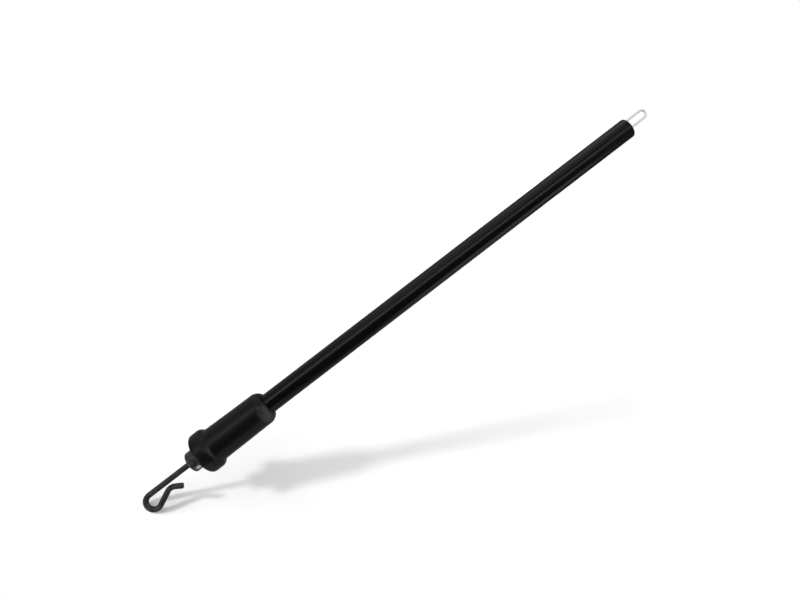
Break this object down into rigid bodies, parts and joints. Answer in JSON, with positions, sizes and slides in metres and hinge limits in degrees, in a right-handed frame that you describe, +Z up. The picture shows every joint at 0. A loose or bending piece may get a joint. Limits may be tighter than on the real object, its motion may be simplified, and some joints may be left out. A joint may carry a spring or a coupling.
{
  "type": "hook pole",
  "caption": "Slim black pole with a sprung, swivelling wire snap hook behind a flanged rubber buffer, and a small wire loop at the far end to hang it by.",
  "frame": {"origin": "middle of the bounding box's bottom, in the plane that the buffer's flange touches", "axes": "+X along the pole from the hook to the hanging loop, +Z up, the hook's eye towards -Y"},
  "size_m": [0.5091, 0.0346, 0.0346],
  "materials": {
    "tube_paint": "semi-gloss black",
    "nose_steel": "dark, turned",
    "bronze": "plain bearing bronze",
    "buffer_rubber": "satin black",
    "spring_steel": "spring steel",
    "plated_steel": "zinc plated",
    "hook_wire": "dark oxide",
    "plug_nylon": "black nylon",
    "loop_wire": "bright wire",
    "crimp_aluminium": "plain"
  },
  "bodies": {
    "pole": {"pole_tube": "tube_paint", "hook_socket": "nose_steel", "nose_bearing": "bronze", "head_buffer": "buffer_rubber", "front_spring_seat": "spring_steel", "draw_spring": "spring_steel", "chamber_ring": "spring_steel", "socket_pin": "plated_steel", "tail_plug": "plug_nylon", "hang_loop": "loop_wire", "loop_crimp": "crimp_aluminium", "tail_pin": "hook_wire"},
    "follower": {"spring_follower": "bronze"},
    "hook": {"hook": "hook_wire", "shank_clip": "spring_steel", "thrust_washer": "plated_steel", "lock_nut": "plated_steel", "jam_nut": "plated_steel"}
  },
  "joints": [
    {"name": "hook_draw", "type": "slide", "parent": "pole", "child": "follower", "axis": [-1, 0, 0], "range_m": [0, 0.006], "stiffness_N_per_m": 3500, "springref_m": -0.004, "deforming": ["draw_spring"]},
    {"name": "hook_swivel", "type": "hinge", "parent": "follower", "child": "hook", "pos_m": [-0.20425, 0, 0.0173], "axis": [1, 0, 0], "continuous": true}
  ]
}
